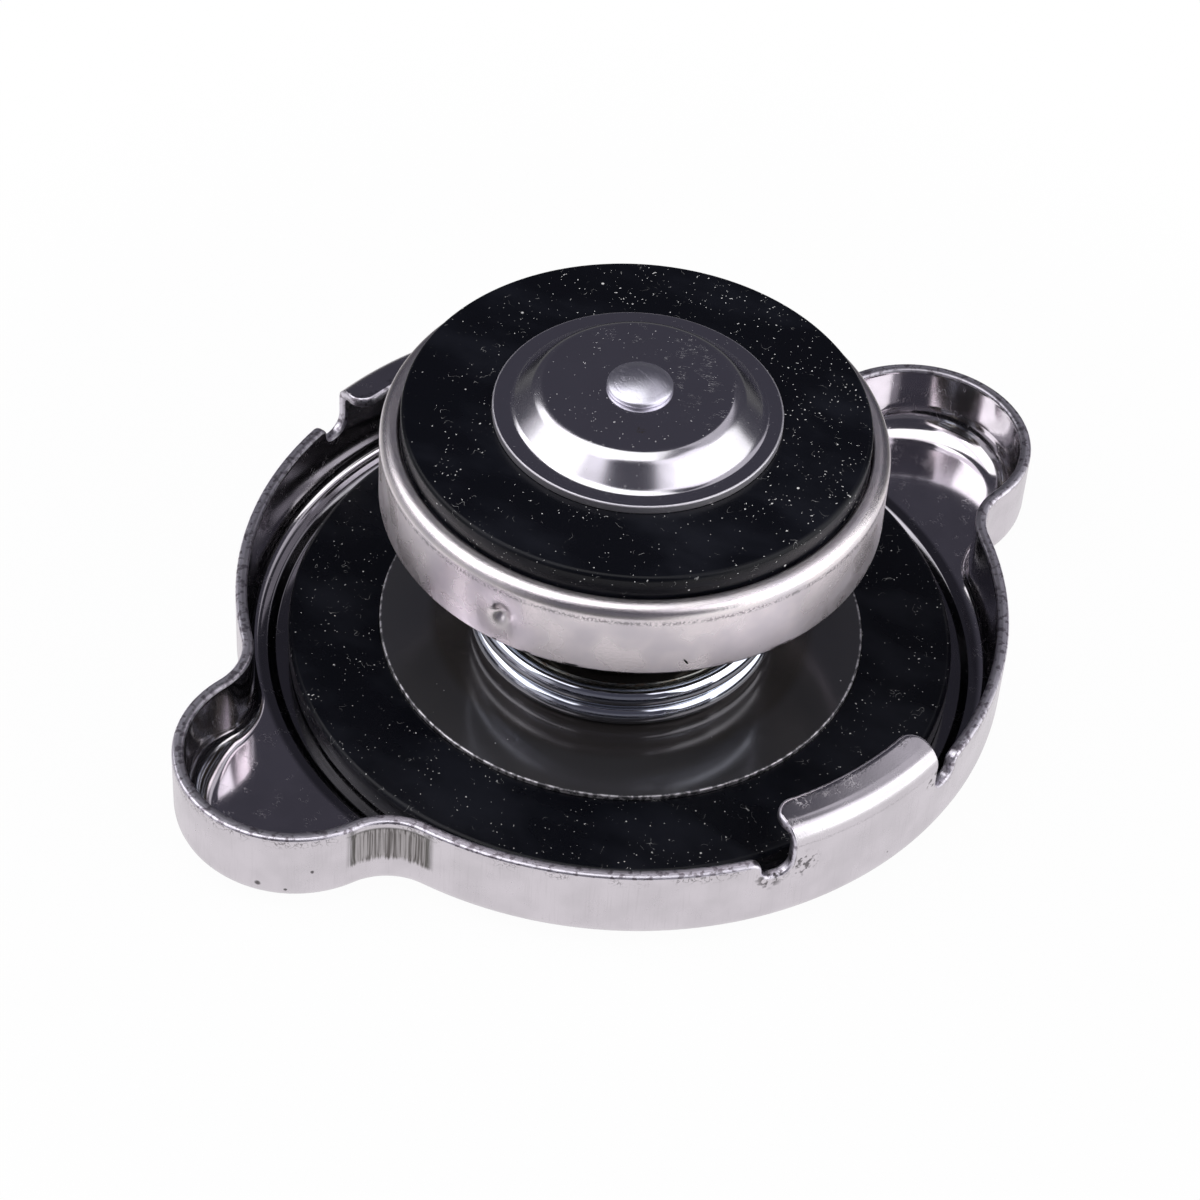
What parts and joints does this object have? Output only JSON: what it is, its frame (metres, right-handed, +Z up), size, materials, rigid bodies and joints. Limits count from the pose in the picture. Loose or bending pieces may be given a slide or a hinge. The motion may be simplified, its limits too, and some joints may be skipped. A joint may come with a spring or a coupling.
{
  "type": "coolant tank pressure cap",
  "caption": "Eared pressed-steel pressure cap for a coolant filler neck, lying on its crown with its sprung, rubber-faced valve and vacuum valve upwards.",
  "frame": {"origin": "centre of the crown's resting face, on the cap's axis", "axes": "+Z up along the cap's axis, from the crown towards the valve; X along the two finger ears; Y through the two locking tabs"},
  "size_m": [0.087, 0.066, 0.0318],
  "materials": {
    "shell_steel": "satin pressed stainless steel, bright cut edges, fine scuffs",
    "bright_disc": "mirror-bright sheet with faint scratches",
    "inner_steel": "plain drawn steel",
    "spring_wire": "bright plated spring wire",
    "cup_steel": "satin stainless steel with a grained ledge",
    "plate_steel": "polished stainless steel with circular scratches",
    "rivet_metal": "satin rivet",
    "black_rubber": "semi-gloss rubber with dust specks"
  },
  "bodies": {
    "root": {"cap_shell": "shell_steel", "neck_gasket": "black_rubber", "clamp_disc": "bright_disc", "guide_bell": "inner_steel", "centre_rivet": "rivet_metal", "main_spring": "spring_wire"},
    "spring_seat": {"spring_seat": "inner_steel"},
    "pressure_valve": {"valve_cup": "cup_steel", "valve_seal": "black_rubber", "vacuum_spring": "spring_wire"},
    "vacuum_valve": {"vacuum_plate": "plate_steel", "vacuum_stem": "rivet_metal", "stem_washer": "inner_steel"}
  },
  "joints": [
    {"name": "pressure_valve_slide", "type": "slide", "parent": "root", "child": "spring_seat", "axis": [0, 0, 1], "range_m": [-0.006, 0], "stiffness_N_per_m": 8000, "springref_m": 0.001, "deforming": ["main_spring"]},
    {"name": "valve_swivel", "type": "hinge", "parent": "spring_seat", "child": "pressure_valve", "pos_m": [0, 0, 0.02435], "axis": [0, 0, 1], "continuous": true},
    {"name": "vacuum_valve_lift", "type": "slide", "parent": "pressure_valve", "child": "vacuum_valve", "axis": [0, 0, 1], "range_m": [0, 0.002], "stiffness_N_per_m": 150, "springref_m": -0.002, "deforming": ["vacuum_spring"]}
  ]
}
